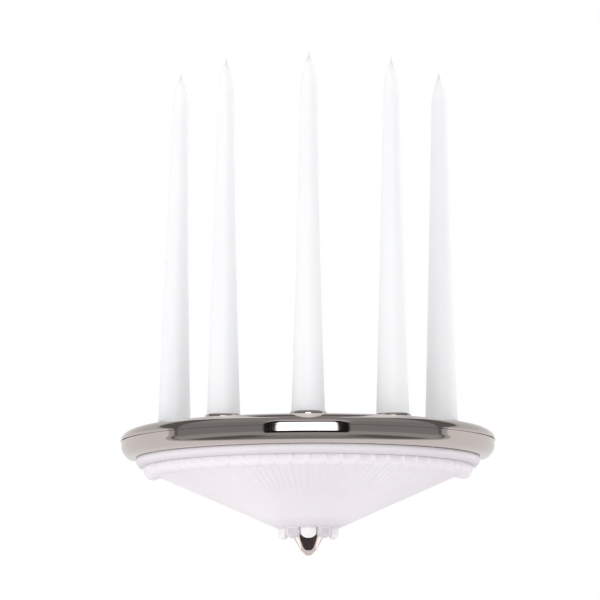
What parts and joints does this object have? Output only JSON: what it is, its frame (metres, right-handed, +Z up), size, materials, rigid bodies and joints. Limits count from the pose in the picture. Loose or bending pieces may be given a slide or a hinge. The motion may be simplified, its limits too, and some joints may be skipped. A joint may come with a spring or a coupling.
{
  "type": "candle wall sconce",
  "caption": "Half-round candle wall sconce: bright nickel rim with taper candles in cups above a frosted glass half-cone bowl with a gadrooned edge and a finial.",
  "frame": {"origin": "on the wall, at the middle of the wall plate's back face, level with the parting line of the rim", "axes": "+Z up, +Y into the wall, the body stands out towards -Y, +X to the right of a viewer who faces the wall"},
  "size_m": [0.292, 0.164, 0.3744],
  "materials": {
    "bright_nickel": "mirror-polished warm nickel plate on spun brass",
    "frosted_glass": "pressed opal glass, acid-frosted satin",
    "silicone": "translucent white silicone, matt",
    "zinc_steel": "zinc-plated steel, dull",
    "satin_brass": "plain turned brass",
    "white_wax": "dipped white wax, soft sheen",
    "waxed_cotton": "braided cotton dipped in white wax"
  },
  "bodies": {
    "sconce": {"top_cover": "bright_nickel", "rim_band": "bright_nickel", "collar_outer_left": "bright_nickel", "collar_inner_left": "bright_nickel", "collar_middle": "bright_nickel", "collar_inner_right": "bright_nickel", "collar_outer_right": "bright_nickel", "bowl": "frosted_glass", "bowl_gasket": "silicone", "cushion_washer": "silicone", "carrier_plate": "zinc_steel", "wall_plate": "zinc_steel", "bracket_left": "zinc_steel", "bracket_right": "zinc_steel", "carrier_screw_left": "zinc_steel", "carrier_screw_right": "zinc_steel", "plate_screw_left": "zinc_steel", "plate_screw_right": "zinc_steel", "centre_bolt": "zinc_steel", "bolt_washer": "zinc_steel", "bolt_nut": "zinc_steel", "lock_ring_outer_left": "zinc_steel", "lock_ring_inner_left": "zinc_steel", "lock_ring_middle": "zinc_steel", "lock_ring_inner_right": "zinc_steel", "lock_ring_outer_right": "zinc_steel", "cup_outer_left": "satin_brass", "cup_inner_left": "satin_brass", "cup_middle": "satin_brass", "cup_inner_right": "satin_brass", "cup_outer_right": "satin_brass"},
    "finial_knob": {"finial": "bright_nickel"},
    "outer_left_taper": {"candle_outer_left": "white_wax", "wick_outer_left": "waxed_cotton"},
    "inner_left_taper": {"candle_inner_left": "white_wax", "wick_inner_left": "waxed_cotton"},
    "middle_taper": {"candle_middle": "white_wax", "wick_middle": "waxed_cotton"},
    "inner_right_taper": {"candle_inner_right": "white_wax", "wick_inner_right": "waxed_cotton"},
    "outer_right_taper": {"candle_outer_right": "white_wax", "wick_outer_right": "waxed_cotton"}
  },
  "joints": [
    {"name": "lift_outer_left", "type": "slide", "parent": "sconce", "child": "outer_left_taper", "axis": [0, 0, 1], "range_m": [0, 0.03]},
    {"name": "lift_inner_left", "type": "slide", "parent": "sconce", "child": "inner_left_taper", "axis": [0, 0, 1], "range_m": [0, 0.03]},
    {"name": "lift_middle", "type": "slide", "parent": "sconce", "child": "middle_taper", "axis": [0, 0, 1], "range_m": [0, 0.03]},
    {"name": "lift_inner_right", "type": "slide", "parent": "sconce", "child": "inner_right_taper", "axis": [0, 0, 1], "range_m": [0, 0.03]},
    {"name": "lift_outer_right", "type": "slide", "parent": "sconce", "child": "outer_right_taper", "axis": [0, 0, 1], "range_m": [0, 0.03]},
    {"name": "finial_turn", "type": "hinge", "parent": "sconce", "child": "finial_knob", "pos_m": [0, -0.018, -0.08], "axis": [0, 0, 1], "continuous": true}
  ]
}
